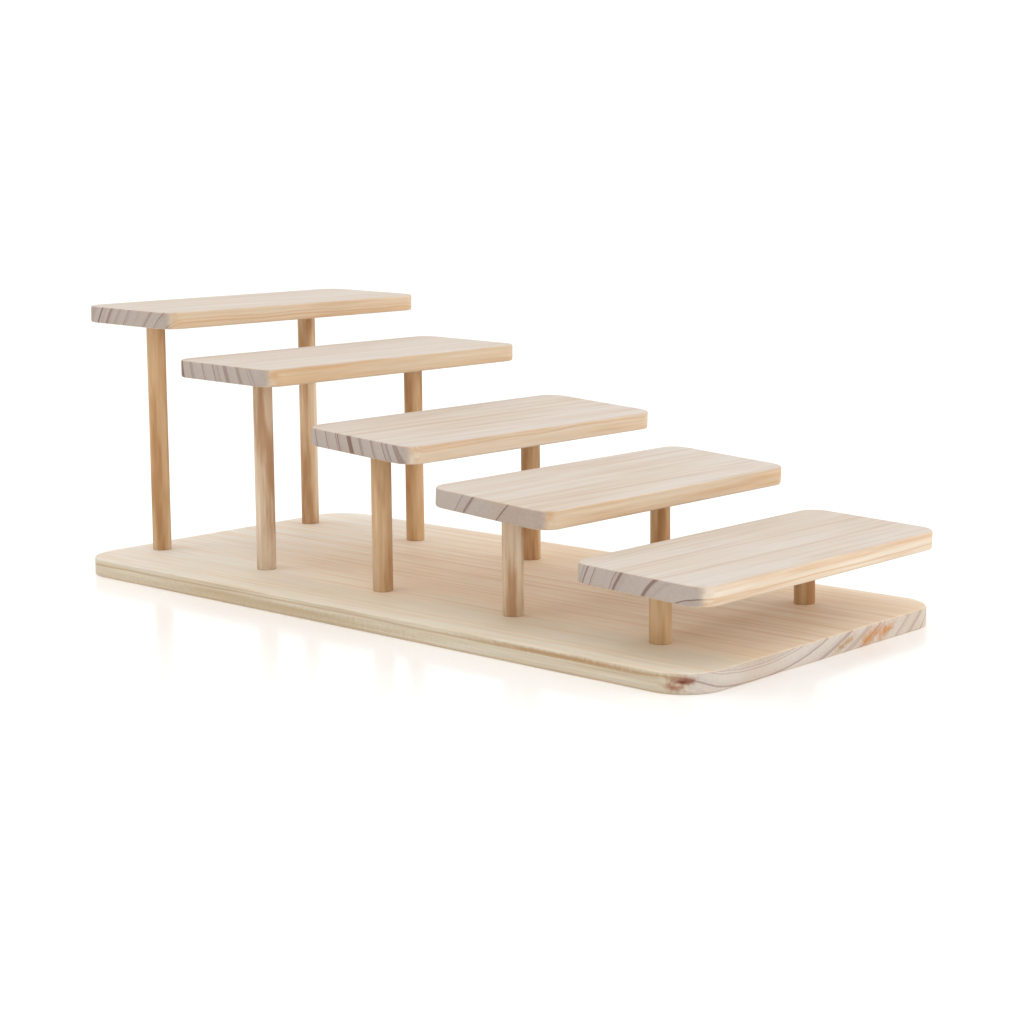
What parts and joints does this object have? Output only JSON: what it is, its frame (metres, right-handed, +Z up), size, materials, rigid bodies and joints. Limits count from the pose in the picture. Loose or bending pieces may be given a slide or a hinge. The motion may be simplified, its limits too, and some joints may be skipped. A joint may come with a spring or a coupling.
{
  "type": "eyeglass display rack",
  "caption": "Stepped wooden display rack: low shelves on pairs of round posts, rising in a row from one long rounded base board.",
  "frame": {"origin": "centre of the base board's underside", "axes": "+X along the shelves, +Y from the low front shelf to the high back shelf, +Z up"},
  "size_m": [0.23, 0.5051, 0.1722],
  "materials": {
    "base_pine": "sanded pale pine, matt",
    "shelf_pine": "sanded pale pine, matt",
    "post_pine": "sanded honey-coloured pine dowel, matt",
    "zinc_steel": "zinc-plated steel"
  },
  "bodies": {
    "root": {"base_board": "base_pine", "shelf_1": "shelf_pine", "shelf_2": "shelf_pine", "shelf_3": "shelf_pine", "shelf_4": "shelf_pine", "shelf_5": "shelf_pine", "post_1_left": "post_pine", "post_1_right": "post_pine", "post_2_left": "post_pine", "post_2_right": "post_pine", "post_3_left": "post_pine", "post_3_right": "post_pine", "post_4_left": "post_pine", "post_4_right": "post_pine", "post_5_left": "post_pine", "post_5_right": "post_pine", "base_screws_tier_1": "zinc_steel", "base_screws_tier_2": "zinc_steel", "base_screws_tier_3": "zinc_steel", "base_screws_tier_4": "zinc_steel", "base_screws_tier_5": "zinc_steel", "dowel_screws_tier_1": "zinc_steel", "dowel_screws_tier_2": "zinc_steel", "dowel_screws_tier_3": "zinc_steel", "dowel_screws_tier_4": "zinc_steel", "dowel_screws_tier_5": "zinc_steel"}
  },
  "joints": []
}
